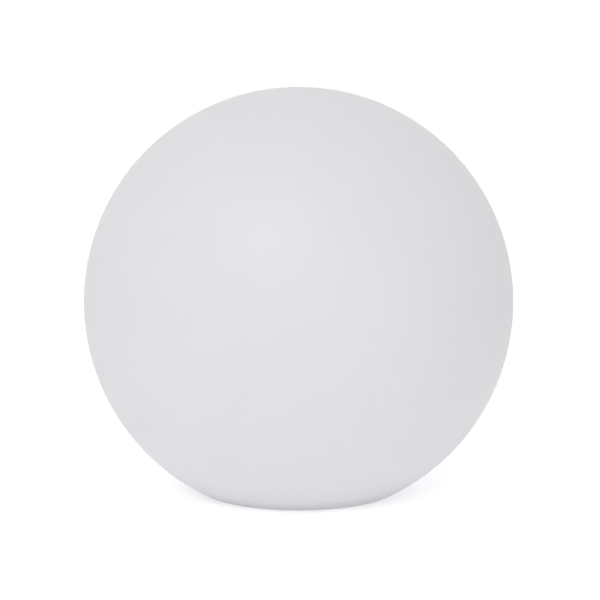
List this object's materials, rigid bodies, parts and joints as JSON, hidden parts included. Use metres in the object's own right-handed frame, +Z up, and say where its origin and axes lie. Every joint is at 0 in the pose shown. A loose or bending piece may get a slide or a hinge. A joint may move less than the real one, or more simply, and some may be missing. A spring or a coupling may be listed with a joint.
{
  "type": "garden globe light",
  "caption": "White globe garden light on a flat base: a hollow translucent sphere with a sealed rechargeable light unit, locking ring, power button and covered charging port below.",
  "frame": {"origin": "centre of the flat base, on the ground that the globe stands on", "axes": "+Z up through the globe's centre; -Y faces the viewer; the charging port lies on +Y from the power button, on the underside"},
  "size_m": [0.2999, 0.3, 0.2835],
  "materials": {
    "globe_shell": "satin, translucent",
    "shell_inserts": "turned",
    "neck_gasket": "matte",
    "neck_ring": "satin",
    "neck_screws": "satin",
    "unit_housing": "satin",
    "unit_seal": "matte",
    "cover_seal": "matte",
    "dome_seal": "matte",
    "dome_cover": "frosted",
    "led_plate": "satin",
    "plate_screws": "satin",
    "led_board": "white solder mask",
    "led_board_screws": "satin",
    "colour_leds": "glossy",
    "white_leds": "glossy",
    "remote_receiver": "glossy",
    "battery_cells": "shrink wrapped",
    "battery_tabs": "nickel",
    "battery_tray": "satin",
    "tray_screws": "satin",
    "battery_pad": "foam",
    "battery_leads": "satin",
    "led_leads": "satin",
    "control_board": "green solder mask",
    "board_parts": "matte",
    "board_screws": "satin",
    "lead_connectors": "satin",
    "charge_socket": "nickel",
    "socket_tongue": "satin",
    "charge_led": "glossy",
    "light_pipe": "clear",
    "switch_body": "satin",
    "bottom_cover": "satin",
    "cover_screws": "satin",
    "flap_anchor": "matte",
    "lock_ring": "satin",
    "power_button": "matte",
    "switch_plunger": "satin",
    "port_flap": "matte"
  },
  "bodies": {
    "globe": {"globe_shell": "globe_shell", "shell_inserts": "shell_inserts", "neck_gasket": "neck_gasket", "neck_ring": "neck_ring", "neck_screws": "neck_screws"},
    "light_unit": {"unit_housing": "unit_housing", "unit_seal": "unit_seal", "cover_seal": "cover_seal", "dome_seal": "dome_seal", "dome_cover": "dome_cover", "led_plate": "led_plate", "plate_screws": "plate_screws", "led_board": "led_board", "led_board_screws": "led_board_screws", "colour_leds": "colour_leds", "white_leds": "white_leds", "remote_receiver": "remote_receiver", "battery_cells": "battery_cells", "battery_tabs": "battery_tabs", "battery_tray": "battery_tray", "tray_screws": "tray_screws", "battery_pad": "battery_pad", "battery_leads": "battery_leads", "led_leads": "led_leads", "control_board": "control_board", "board_parts": "board_parts", "board_screws": "board_screws", "lead_connectors": "lead_connectors", "charge_socket": "charge_socket", "socket_tongue": "socket_tongue", "charge_led": "charge_led", "light_pipe": "light_pipe", "switch_body": "switch_body", "bottom_cover": "bottom_cover", "cover_screws": "cover_screws", "flap_anchor": "flap_anchor"},
    "lock_ring": {"lock_ring": "lock_ring"},
    "power_button": {"power_button": "power_button", "switch_plunger": "switch_plunger"},
    "port_flap": {"port_flap": "port_flap"}
  },
  "joints": [
    {"name": "unit_drop", "type": "slide", "parent": "globe", "child": "light_unit", "axis": [0, 0, -1], "range_m": [0, 0.084]},
    {"name": "ring_turn", "type": "hinge", "parent": "light_unit", "child": "lock_ring", "pos_m": [0, 0, 0.01], "axis": [0, 0, -1], "range_deg": [0, 1261]},
    {"name": "button_press", "type": "slide", "parent": "light_unit", "child": "power_button", "axis": [0, 0, 1], "range_m": [0, 0.0008], "stiffness_N_per_m": 2500, "springref_m": -0.0002},
    {"name": "flap_open", "type": "hinge", "parent": "light_unit", "child": "port_flap", "pos_m": [0, 0.0279, 0.0033], "axis": [1, 0, 0], "range_deg": [0, 100]}
  ],
  "couplings": [
    {"joint": "ring_turn", "follows": "unit_drop", "rad_per_m": 261.8}
  ]
}
